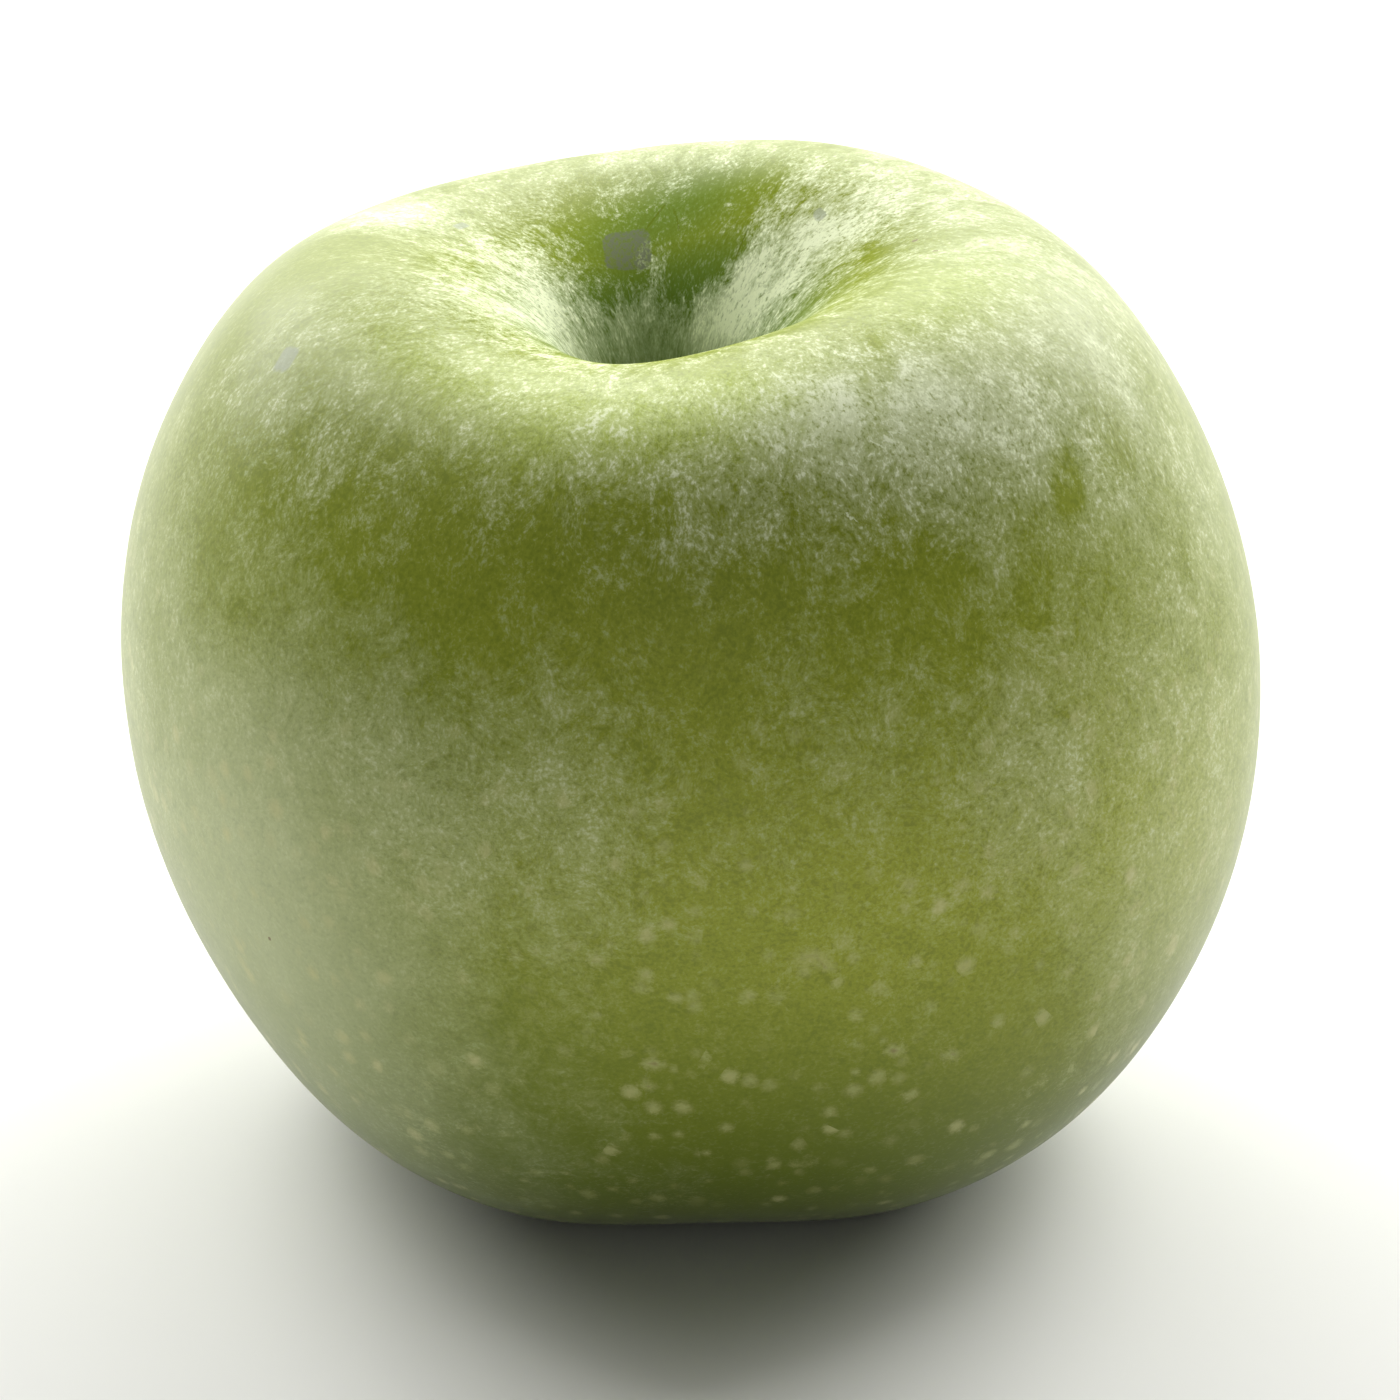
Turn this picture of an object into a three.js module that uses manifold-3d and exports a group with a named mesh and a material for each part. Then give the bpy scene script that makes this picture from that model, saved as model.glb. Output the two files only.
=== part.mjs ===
// A green apple. The fruit grew as one piece: a tall round body with a deep stem cavity on top,
// a crown that is higher on one side, and five low lobes underneath, on which it stands.
// The dry stub of the stem stands in a socket at the bottom of the cavity, and the dried calyx,
// five curled sepals round a tuft of filaments, sits in the basin underneath.
// Millimetres, +Z up. The origin is on the surface that the apple stands on, at the centre of the
// apple's outline seen from above.
import * as THREE from "three";
import { NURBSCurve } from "three/addons/curves/NURBSCurve.js";
import { mergeVertices } from "three/addons/utils/BufferGeometryUtils.js";
import Module from "manifold-3d";

// Clearance between pieces that touch.
const GAP = 0.3;

// The stem's stub, as [radius, height over its foot]: thick where it leaves the fruit, slim in its
// middle and swollen where it broke.
const STEM_OUTLINE = [
  [1.3, 0],
  [1.3, 1.2],
  [1.17, 2.6],
  [1.0, 4.2],
  [1.06, 5.7],
  [1.35, 7.1],
  [1.45, 8.1],
  [1.0, 8.6],
];
const STEM_BEND = 0.9;
const STEM_END_SLANT = 0.3;
const STEM_SIDES = 20;

// The dried calyx: a cup with sepals round its rim and a tuft of filaments in its middle.
const CALYX_RADIUS = 2.3;
const CALYX_CUP_DEPTH = 1.7;
const CALYX_CUP_BEVEL = 0.35;
const CALYX_SIDES = 30;
const SEPALS = 5;
const SEPAL_LENGTH = 5.0;
const SEPAL_WIDTH = 2.5;
const SEPAL_TIP_WIDTH = 0.6;
const SEPAL_THICKNESS = 0.7;
const SEPAL_RING = 1.75;
const SEPAL_LEAN = 0.15;
const SEPAL_CURL = 2.4;
const SEPAL_CUPPING = 0.35;
const FILAMENTS = 7;
const FILAMENT_RADIUS = 0.35;
const FILAMENT_TIP_RADIUS = 0.26;
const FILAMENT_LENGTHS = [1.9, 2.4];
const FILAMENT_RING = 0.6;
const FILAMENT_SPLAY = 5;
const FILAMENT_SIDES = 6;
// How deep sepals and filaments are rooted in the cup.
const ROOT_DEPTH = 0.5;

// The plain sockets that the stem and the calyx stand in.
const STEM_SOCKET_RADIUS = STEM_OUTLINE[0][0] + GAP;
const STEM_SOCKET_FLOOR = 46.9;
const CALYX_SOCKET_RADIUS = CALYX_RADIUS + GAP;
const CALYX_SOCKET_FLOOR = 9.8;

// Half of the fruit's section, as control points of one smooth cubic curve.
// Each point is [distance from the core line, height].
const SECTION = [
  // the bottom of the stem cavity and its steep funnel
  [STEM_SOCKET_RADIUS, 49.6],
  [3.0, 50.2],
  [4.2, 54.8],
  [7.2, 61.6],
  // the crown
  [13.0, 65.3],
  [19.3, 67.2],
  [28.5, 65.8],
  // the shoulder and the belly
  [36.5, 52.3],
  [39.8, 38.6],
  [38.3, 22.0],
  // the lower flank and the ring that stands on the table
  [31.5, 7.8],
  [23.0, 1.5],
  [16.6, -0.5],
  [11.0, 1.0],
  // the basin underneath
  [7.1, 5.2],
  [4.8, 7.9],
  [CALYX_SOCKET_RADIUS, 8.2],
];
const SECTION_STEPS = 50;
const SIDES = 96;

// Waves round the fruit. A share is a share of the radius, a rise is a height, and each wave peaks
// towards the given angle, in degrees from +X.
const OVAL = { count: 2, share: 0.037, towards: -38 };
const THREE_SIDED = { count: 3, share: 0.03, towards: 108 };
const BASE_LOBES = { count: 5, share: 0.023, towards: -51 };
const CROWN_TILT = { count: 1, rise: 1.7, towards: -24 };
const CROWN_SADDLE = { count: 2, rise: 0.9, towards: 10 };
const CROWN_HUMPS = { count: 3, rise: 0.74, towards: 67.5 };
const CROWN_DIPS = { count: 5, rise: 0.1, towards: -15 };
const FEET = { count: 5, rise: 0.4, towards: -51 };

// Where the waves set in, as pairs of heights, and of distances from the core line.
const CROWN_HEIGHTS = [20, 67];
const BASE_HEIGHTS = [0, 43];
const CROWN_RIM = [4, 18];
const LOBED_FLANK = [6, 24];
const FEET_BEGIN = [3, 14];
const FEET_END = [16, 30];

// The core line leans: the crown grew a little away from over the middle of the base.
const LEAN = new THREE.Vector2(-2.1, -3.1);
const LEAN_HEIGHTS = [-10, 70];

const wasm = await Module();
wasm.setup();

// 0 up to the first of two values, 1 from the second, and smooth between them.
function between(value, [low, high]) {
  return THREE.MathUtils.smoothstep(value, low, high);
}

function wave({ count, towards }, angle) {
  return Math.cos(count * (angle - THREE.MathUtils.degToRad(towards)));
}

// How far the core line is sideways at a height.
function coreShift(height) {
  return LEAN.clone().multiplyScalar(between(height, LEAN_HEIGHTS));
}

// The point of the fruit that a point of the plain round form grows into.
function grown(radius, angle, height) {
  const crown = between(height, CROWN_HEIGHTS) * between(radius, CROWN_RIM);
  const base = 1 - between(height, BASE_HEIGHTS);
  const feet = base * between(radius, FEET_BEGIN) * (1 - between(radius, FEET_END));
  let share = 1;
  for (const each of [OVAL, THREE_SIDED]) share += each.share * wave(each, angle);
  share += BASE_LOBES.share * wave(BASE_LOBES, angle) * base * between(radius, LOBED_FLANK);
  let z = height;
  for (const each of [CROWN_TILT, CROWN_SADDLE, CROWN_HUMPS, CROWN_DIPS]) {
    z += each.rise * wave(each, angle) * crown;
  }
  z -= FEET.rise * wave(FEET, angle) * feet;
  const shift = coreShift(height);
  const x = radius * share * Math.cos(angle) + shift.x;
  const y = radius * share * Math.sin(angle) + shift.y;
  // what would press below the table is flat instead: the spots that the apple stands on
  return new THREE.Vector3(x, y, Math.max(z, 0));
}

// Moves every vertex of a geometry to the place that a function gives for it.
function reshape(geometry, place) {
  const position = geometry.getAttribute("position");
  const vertex = new THREE.Vector3();
  for (let i = 0; i < position.count; i++) {
    vertex.copy(place(vertex.fromBufferAttribute(position, i).clone()));
    position.setXYZ(i, vertex.x, vertex.y, vertex.z);
  }
  return geometry;
}

// The geometry with its shared vertices merged and its collapsed triangles dropped.
function closed(geometry) {
  const bare = geometry.clone();
  bare.deleteAttribute("normal");
  bare.deleteAttribute("uv");
  const merged = mergeVertices(bare, 1e-4);
  const corners = merged.index.array;
  const kept = [];
  for (let i = 0; i < corners.length; i += 3) {
    const [a, b, c] = corners.slice(i, i + 3);
    if (a !== b && b !== c && c !== a) kept.push(a, b, c);
  }
  merged.setIndex(kept);
  merged.computeVertexNormals();
  return merged;
}

// One closed geometry from several that overlap.
function fused(geometries) {
  const solids = geometries.map((geometry) => {
    const { attributes, index } = closed(geometry);
    const vertProperties = new Float32Array(attributes.position.array);
    const triVerts = new Uint32Array(index.array);
    return new wasm.Manifold(new wasm.Mesh({ numProp: 3, vertProperties, triVerts }));
  });
  const whole = solids.reduce((sum, solid) => sum.add(solid));
  const { vertProperties, triVerts } = whole.getMesh();
  const geometry = new THREE.BufferGeometry();
  geometry.setAttribute("position", new THREE.BufferAttribute(vertProperties, 3));
  geometry.setIndex(new THREE.BufferAttribute(triVerts, 1));
  geometry.computeVertexNormals();
  return geometry;
}

// A round form about +Z from a profile of [radius, height] that runs up from the axis to the axis.
function turned(profile, sides) {
  const points = profile.map(([radius, height]) => new THREE.Vector2(radius, height));
  return new THREE.LatheGeometry(points, sides).rotateX(Math.PI / 2);
}

// The smooth curve through the fruit's section, from one socket's mouth to the other's.
function sectionPoints() {
  const degree = 3;
  const spans = SECTION.length - degree;
  const knots = [];
  for (let i = -degree; i <= spans + degree; i++) {
    knots.push(THREE.MathUtils.clamp(i / spans, 0, 1));
  }
  const controls = SECTION.map(([radius, height]) => new THREE.Vector4(radius, height, 0, 1));
  const curve = new NURBSCurve(degree, knots, controls);
  return curve.getPoints(SECTION_STEPS).map((point) => [point.x, point.y]);
}

function fruit() {
  const profile = [
    [0, CALYX_SOCKET_FLOOR],
    [CALYX_SOCKET_RADIUS, CALYX_SOCKET_FLOOR],
    ...sectionPoints().reverse(),
    [STEM_SOCKET_RADIUS, STEM_SOCKET_FLOOR],
    [0, STEM_SOCKET_FLOOR],
  ];
  const geometry = reshape(turned(profile, SIDES), (vertex) =>
    grown(Math.hypot(vertex.x, vertex.y), Math.atan2(vertex.y, vertex.x), vertex.z),
  );
  return closed(geometry);
}

// The woody stub bends to one side, and its broken end is slanted.
function stem() {
  const [endRadius, length] = STEM_OUTLINE.at(-1);
  const foot = STEM_SOCKET_FLOOR + GAP;
  const profile = [[0, 0], ...STEM_OUTLINE, [0, length]];
  const geometry = reshape(turned(profile, STEM_SIDES), ({ x, y, z }) => {
    const along = z / length;
    const shift = coreShift(foot + z);
    const slant = STEM_END_SLANT * (x / endRadius) * along ** 6;
    return new THREE.Vector3(x + shift.x + STEM_BEND * along ** 3, y + shift.y, foot + z + slant);
  });
  return closed(geometry);
}

// One dried sepal: a pointed blade that hangs from the cup, leans in and curls out at its tip.
function sepal() {
  const blade = new THREE.BoxGeometry(1, SEPAL_LENGTH, SEPAL_THICKNESS, 4, 10, 1);
  return reshape(blade, ({ x, y, z }) => {
    const along = y / SEPAL_LENGTH + 0.5;
    const width = THREE.MathUtils.lerp(SEPAL_TIP_WIDTH, SEPAL_WIDTH, Math.sqrt(1 - along ** 2));
    const inward = SEPAL_LEAN * Math.sin(Math.PI * along);
    const outward = SEPAL_CURL * along ** 3;
    const cupped = SEPAL_CUPPING * (2 * x) ** 2 * (1 - along);
    const out = SEPAL_RING + z - inward + outward - cupped;
    return new THREE.Vector3(out, -x * width, -along * SEPAL_LENGTH);
  });
}

function filament(turn) {
  const length = FILAMENT_LENGTHS[turn % FILAMENT_LENGTHS.length];
  return new THREE.CylinderGeometry(FILAMENT_TIP_RADIUS, FILAMENT_RADIUS, length, FILAMENT_SIDES)
    .translate(0, length / 2, 0)
    .rotateX(-Math.PI / 2)
    .rotateY(-THREE.MathUtils.degToRad(FILAMENT_SPLAY))
    .translate(FILAMENT_RING, 0, 0)
    .rotateZ((turn * 2 * Math.PI) / FILAMENTS);
}

function calyxCup(bottom, top) {
  const profile = [
    [0, bottom],
    [CALYX_RADIUS - CALYX_CUP_BEVEL, bottom],
    [CALYX_RADIUS, bottom + CALYX_CUP_BEVEL],
    [CALYX_RADIUS, top],
    [0, top],
  ];
  return turned(profile, CALYX_SIDES);
}

function calyx() {
  const top = CALYX_SOCKET_FLOOR - GAP;
  const bottom = top - CALYX_CUP_DEPTH;
  const roots = bottom + ROOT_DEPTH;
  const pieces = [calyxCup(bottom, top)];
  for (let turn = 0; turn < SEPALS; turn++) {
    pieces.push(sepal().rotateZ(((turn + 0.5) * 2 * Math.PI) / SEPALS).translate(0, 0, roots));
  }
  for (let turn = 0; turn < FILAMENTS; turn++) {
    pieces.push(filament(turn).translate(0, 0, roots));
  }
  const shift = coreShift(top);
  return fused(pieces).translate(shift.x, shift.y, 0);
}

function piece(name, geometry, color, roughness) {
  const material = new THREE.MeshStandardMaterial({ color, roughness, metalness: 0 });
  const mesh = new THREE.Mesh(geometry, material);
  mesh.name = name;
  return mesh;
}

const apple = new THREE.Group();
apple.add(
  piece("fruit", fruit(), "#7f9440", 0.45),
  piece("stem", stem(), "#6b5638", 0.85),
  piece("calyx", calyx(), "#5a4a34", 0.9),
);

// The fruit's outline is centred over the origin.
const centre = new THREE.Box3().setFromObject(apple).getCenter(new THREE.Vector3());
for (const mesh of apple.children) mesh.geometry.translate(-centre.x, -centre.y, 0);

export default apple;
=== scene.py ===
# Green apple with a deep stem cavity, standing on a plain pale floor.
import math

import bmesh
import bpy
import numpy as np
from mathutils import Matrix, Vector, noise
from mathutils.bvhtree import BVHTree


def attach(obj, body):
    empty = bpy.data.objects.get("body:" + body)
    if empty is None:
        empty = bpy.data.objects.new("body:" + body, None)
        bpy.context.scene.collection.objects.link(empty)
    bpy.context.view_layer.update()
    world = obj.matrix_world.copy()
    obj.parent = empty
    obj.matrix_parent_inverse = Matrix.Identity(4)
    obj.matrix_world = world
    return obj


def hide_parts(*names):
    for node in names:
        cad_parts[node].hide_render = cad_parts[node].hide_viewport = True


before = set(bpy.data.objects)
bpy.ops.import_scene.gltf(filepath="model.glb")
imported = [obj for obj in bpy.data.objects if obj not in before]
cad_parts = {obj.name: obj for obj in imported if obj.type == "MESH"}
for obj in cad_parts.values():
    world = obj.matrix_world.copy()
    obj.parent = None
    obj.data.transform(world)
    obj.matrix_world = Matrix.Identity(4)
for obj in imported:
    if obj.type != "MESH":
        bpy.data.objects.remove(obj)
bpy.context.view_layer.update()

bl_info = {
    "name": "Green apple",
    "version": (1, 0, 0),
    "blender": (4, 5, 0),
    "location": "View3D > Sidebar > Green apple",
    "description": "Builds one fresh green apple with its skin, stem, calyx and studio",
    "category": "Add Mesh",
}

MM = 0.001

# The core line runs from the calyx to the stem and leans; growth is told round it and down from the stem.
CORE_FOOT = np.array((0.24, 0.91)) * MM
CORE_LEAN = np.array((-2.1, -3.1)) * MM
LEAN_HEIGHTS = (-10 * MM, 70 * MM)
HEART_HEIGHT = 33 * MM
GIRTH = 38 * MM

# A copy of a CAD mesh has its loose triangles joined where they meet within this.
MERGE_DISTANCE = 0.005 * MM

# Heights between which the flanks end and the crown, with its cavity, begins.
CROWN_HEIGHTS = (45 * MM, 50 * MM)
# Distances from the core between which the cavity's neck, its wall and its shelter from the light end.
NECK_REACH = (4.5 * MM, 8 * MM)
WALL_REACH = (7 * MM, 14 * MM)
SHELTER_REACH = (14 * MM, 21 * MM)

# Degrees down from the stem between which the crown's and the belly's bloom come and go, the base's bloom
# thins, the flakes weaken twice, the pores begin and the painted shade that darkens the base begins.
# The crown's even extra bloom is partly real bloom and partly a painted highlight that whitens the top.
CROWN_BLOOM_END = (42, 56)
BELLY_BLOOM_START = (56, 70)
BELLY_BLOOM_END = (76, 90)
BASE_THINNING = (84, 100)
FLAKES_WEAKEN = (46, 60)
FLAKES_WEAKEN_MORE = (78, 104)
PORES_START = (52, 88)
PAINTED_SHADE_START = (84, 134)

# Widths of the low waves of the surface, of the clouds of thicker bloom and of the riper patches.
WAVE_SIZES = (14 * MM, 6 * MM)
CLOUD_SIZES = (9 * MM, 4 * MM)
RIPE_SIZE = 16 * MM
# The waves rise between these heights, so the spots that the fruit rests on stay flat.
WAVE_HEIGHTS = (0.5 * MM, 4.5 * MM)

# Depth of the crumbs of wax, and how far the edge of a small mark wanders.
CRUMB_RELIEF = 0.05 * MM
MARK_FRAY = 0.8 * MM

# Spacing of the stem's grooves, width of the calyx's folds, and width and depth of the fibres of both.
GROOVE_SPACING = 0.5 * MM
FOLD_SIZE = 0.8 * MM
STEM_FIBRE = 0.4 * MM
CALYX_FIBRE = 0.5 * MM
FIBRE_RELIEF = 0.08 * MM

# Bodies as the imported record names them.
BODY = "root"


def linear(code):
    """An sRGB hex colour as linear red, green and blue."""
    parts = [int(code[i:i + 2], 16) / 255 for i in (1, 3, 5)]
    return [p / 12.92 if p <= 0.04045 else ((p + 0.055) / 1.055) ** 2.4 for p in parts]


def add(tree, kind, inputs=(), **settings):
    """A node of a kind, with its settings, and its inputs set or linked by name or number."""
    node = tree.nodes.new(kind)
    for key, value in settings.items():
        setattr(node, key, value)
    for key, value in dict(inputs).items():
        if isinstance(value, bpy.types.NodeSocket):
            tree.links.new(value, node.inputs[key])
        else:
            node.inputs[key].default_value = value
    return node


def new_material(name):
    """An empty node material and its tree."""
    material = bpy.data.materials.new(name)
    material.use_nodes = True
    material.node_tree.nodes.clear()
    return material, material.node_tree


# Growth coordinates

def core_line(heights):
    """Where the core line stands at each height."""
    low, high = LEAN_HEIGHTS
    share = np.clip((heights - low) / (high - low), 0, 1)
    eased = share * share * (3 - 2 * share)
    return CORE_FOOT + eased[:, None] * CORE_LEAN


def growth_of(points):
    """Each point's angle round the core, angle down from the stem, in radians, and distance from the core."""
    away = points[:, :2] - core_line(points[:, 2])
    radius = np.hypot(away[:, 0], away[:, 1])
    around = np.arctan2(away[:, 1], away[:, 0])
    down = np.arctan2(radius, points[:, 2] - HEART_HEIGHT)
    return around, down, radius


def vertex_places(mesh):
    """Every vertex of a mesh as an array."""
    places = np.zeros(len(mesh.vertices) * 3)
    mesh.vertices.foreach_get("co", places)
    return places.reshape(-1, 3)


def vertex_normals(mesh):
    """Every vertex normal of a mesh as an array."""
    normals = np.zeros(len(mesh.vertices) * 3, np.float32)
    mesh.vertex_normals.foreach_get("vector", normals)
    return normals.reshape(-1, 3).astype(float)


def noise_at(points, size, seed=0.0):
    """Smooth noise from about -1 to 1 at each point, with features of a size."""
    offset = Vector((seed, 2 * seed, -seed))
    return np.array([noise.noise(Vector(p) / size + offset) for p in points])


def store_vectors(mesh, name, vectors):
    """Keeps one vector for each vertex as a named attribute."""
    attribute = mesh.attributes.new(name, "FLOAT_VECTOR", "POINT")
    attribute.data.foreach_set("vector", vectors.astype(np.float32).ravel())


def store_values(mesh, name, values):
    """Keeps one number for each vertex as a named attribute."""
    attribute = mesh.attributes.new(name, "FLOAT", "POINT")
    attribute.data.foreach_set("value", values.astype(np.float32))


# Meshes

def ray_surface(mesh):
    """A mesh's surface, for finding where a ray meets it."""
    shape = bmesh.new()
    shape.from_mesh(mesh)
    surface = BVHTree.FromBMesh(shape)
    shape.free()
    return surface


def refined_copy(node_name, piece_name, levels):
    """A smooth fine copy of a CAD node's mesh: merged, joined into quads and subdivided."""
    mesh = bpy.data.meshes.new(piece_name)
    shape = bmesh.new()
    shape.from_mesh(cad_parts[node_name].data)
    bmesh.ops.remove_doubles(shape, verts=shape.verts, dist=MERGE_DISTANCE)
    bmesh.ops.join_triangles(
        shape, faces=shape.faces,
        angle_face_threshold=math.radians(40), angle_shape_threshold=math.radians(60))
    shape.to_mesh(mesh)
    shape.free()
    cage = bpy.data.objects.new(piece_name + "_cage", mesh)
    bpy.context.scene.collection.objects.link(cage)
    smooth = cage.modifiers.new("Subdivision", "SUBSURF")
    smooth.levels = levels
    smooth.render_levels = levels
    bpy.context.view_layer.update()
    graph = bpy.context.evaluated_depsgraph_get()
    fine = bpy.data.meshes.new_from_object(cage.evaluated_get(graph))
    fine.name = piece_name
    bpy.data.objects.remove(cage)
    bpy.data.meshes.remove(mesh)
    return fine


def place_piece(name, mesh, material, node):
    """Puts a finished mesh in the scene in place of a CAD node, with its material and body."""
    mesh.materials.clear()
    mesh.materials.append(material)
    for polygon in mesh.polygons:
        polygon.use_smooth = True
    piece = bpy.data.objects.new(name, mesh)
    bpy.context.scene.collection.objects.link(piece)
    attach(piece, BODY)
    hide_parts(node)


def move_vertices(mesh, places):
    """Sets every vertex of a mesh."""
    mesh.vertices.foreach_set("co", places.astype(np.float32).ravel())
    mesh.update()


# Broad changes of the skin: what, degrees round, degrees down from the top, mm across, mm along, degrees
# turned, strength. Both angles are as seen from the heart, the core line's point at HEART_HEIGHT.
# Bloomed skin has more bloom, in flakes. Hazed skin is whitened evenly: partly bloom, partly painted sheen.
# Bared and thinned skin has less bloom, with a firm or a soft edge. Skin darkened towards the cavity takes
# the cavity's dark green: partly its own colour, partly painted shade in the recess. Freshened skin is light
# green and ripened skin yellower.
# A pored place is one large old pore.
LOBES = (
    # The first of these whitens the lower left flank evenly: partly bloom, partly a painted sheen of soft
    # gloss.
    ("haze_and_sheen", -138, 96, 38, 52, 0, 0.53),
    ("haze_and_sheen", 115, 12, 8, 9, 0, 0.20),
    ("bloomed", -46, 46, 30, 16, 0, 0.40),
    ("bloomed", -66, 39, 17, 10, 0, 0.62),
    ("bloomed", -95, 36, 16, 8, 0, 0.12),
    ("bloomed", 44, 11, 7, 10, 0, 0.85),
    ("bloomed", 21, 16, 9, 12, 0, 0.75),
    ("bloomed", 24, 21, 9, 9, 0, 0.42),
    ("bloomed", 160, 23, 16, 9, 0, 0.28),
    ("bloomed", 172, 17, 10, 11, 0, 0.75),
    ("bloomed", -155, 23.5, 13, 10, 0, 0.58),
    ("bloomed", -112, 26, 9, 6, 0, 0.35),
    ("bloomed", 150, 37, 13, 10, 0, 0.60),
    ("bloomed", -105, 76, 22, 26, 0, 0.05),
    ("bloomed", -33, 90, 24, 46, 0, 0.28),
    ("bloomed", -55, 79, 20, 18, 0, 0.12),
    ("bloomed", 35, 30, 30, 18, 0, 0.22),
    ("bloomed", 95, 34, 24, 8, 0, 0.15),
    ("bloomed", -20, 36, 20, 14, 0, 0.18),
    ("bloomed", -34, 58, 8, 12, 0, 0.16),
    ("bloomed", -24, 49, 8, 10, 0, 0.16),
    ("bloomed", -18, 61, 10, 16, 0, 0.22),
    ("bloomed", -81, 46.5, 8, 4, 0, 0.14),
    ("bared", 116, 21, 4, 7, 0, 0.30),
    ("bared", 126, 17, 4, 6, 0, 0.15),
    ("bared", 101, 23, 5, 6, 0, 0.25),
    ("bared", 70, 22, 8, 9, 0, 0.14),
    ("bared", 76, 14, 6, 6, 20, 0.28),
    ("bared", 78, 18, 9, 10, 0, 0.22),
    ("bared", -41, 52, 3.5, 6, -20, 0.24),
    ("bared", -31, 50, 6, 9, -25, 0.19),
    ("bared", -83, 31, 5, 4, 0, 0.20),
    ("bared", -60, 38, 3, 12, -30, 0.25),
    ("bared", 174, 42, 26, 18, 0, 0.20),
    ("thinned", -122, 55, 26, 14, 0, 0.10),
    ("thinned", -62, 54, 16, 10, 0, 0.06),
    ("thinned", -143, 65, 18, 10, 0, 0.13),
    ("thinned", -148, 55, 8, 8, 0, 0.10),
    ("thinned", -103, 38, 9, 7, 0, 0.15),
    ("thinned", -90, 47, 9, 6, 0, 0.10),
    ("thinned", -136, 41, 22, 10, 0, 0.09),
    ("thinned", -42, 85, 10, 14, 0, 0.15),
    ("thinned", -34, 28, 12, 8, 0, 0.12),
    ("thinned", -36, 43, 6, 5, 0, 0.14),
    # These two lobes spread the cavity's dark green over its back wall, as painted shade in the recess.
    ("cavity_shaded", 86, 22, 16, 12, 0, 0.70),
    ("cavity_shaded", 116, 20, 13, 10, 0, 0.50),
    ("freshened", -85, 37, 30, 10, 0, 0.55),
    ("freshened", -125, 36, 24, 12, 0, 0.25),
    ("freshened", -30, 32, 20, 14, 0, 0.30),
    ("freshened", -38, 88, 22, 40, 0, 0.10),
    ("ripened", -68, 86, 56, 44, 0, 0.80),
    ("ripened", -36, 92, 26, 44, 0, 0.80),
    ("ripened", -46, 112, 24, 16, 0, 0.50),
    ("ripened", -100, 60, 20, 14, 0, 0.20),
    ("ripened", 90, 80, 60, 50, 0, 0.40),
    ("pored", -93.5, 95, 2.4, 1.9, 0, 1.0),
    ("pored", -92.5, 106, 2.3, 1.7, 0, 1.0),
    ("pored", -93, 109.5, 1.9, 1.5, 0, 0.9),
    ("pored", -66.5, 105.5, 2.3, 1.9, 0, 1.0),
    ("pored", -60, 107, 2.1, 1.7, 0, 0.9),
    ("pored", -39.5, 94.5, 2.1, 2.0, 0, 1.0),
    ("pored", -98, 92.5, 2.1, 1.7, 0, 0.9),
    ("pored", -76.5, 92.5, 3.6, 2.2, 20, 0.9),
    ("pored", -74.5, 94, 2.0, 1.6, 0, 0.8),
    ("pored", -79.5, 97, 2.6, 2.6, 0, 0.7),
    ("pored", -69, 97, 2.8, 2.4, 0, 0.6),
    ("pored", -78.5, 87, 3.2, 2.6, 0, 0.65),
    ("pored", -87.5, 83, 2.2, 2.2, 0, 0.6),
    ("pored", -74.5, 124, 4.0, 1.8, 0, 0.6),
    ("pored", -73, 122, 3.0, 1.2, 0, 0.55),
)

# Small marks: what, degrees round, degrees down from the top, both seen from the heart too, mm across, mm
# along, degrees turned.
MARKS = (
    ("wax", 110, 18.7, 3.4, 3.8, -15),
    ("scratch", 97, 21.5, 0.20, 3.6, -38),
    ("scratch", 90, 20, 0.16, 2.6, 12),
    ("scratch", 58, 15, 0.14, 4.0, 4),
    ("scuff", -154.5, 43, 1.9, 2.3, 25),
    ("scuff", 146, 30, 1.5, 0.9, 0),
    ("scuff", 34, 19.5, 1.3, 0.9, 0),
    ("speck", -4, 25, 0.35, 0.5, 0),
    ("speck", -13, 27, 0.3, 0.5, 0),
    ("speck", -136.5, 98.5, 0.35, 0.35, 0),
    ("hairline", -60.5, 43, 0.14, 1.4, 70),
    ("hairline", -63.5, 43.5, 0.14, 1.3, 50),
    ("hairline", -69, 49.5, 0.14, 1.2, 40),
)
# A mark reaches this far in and out of the skin, so that it stays on its own side of the fruit.
MARK_DEPTH = 4 * MM
MARK_SOFTNESS = {"wax": 0.12, "scratch": 0.6, "scuff": 0.5, "speck": 0.6, "hairline": 0.6}

# A low hump on the right shoulder: its angles round and down, its width in mm and its height.
HUMP_PLACE = (-26, 66)
HUMP_WIDTH = 3.6
HUMP_HEIGHT = 0.16 * MM


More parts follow.
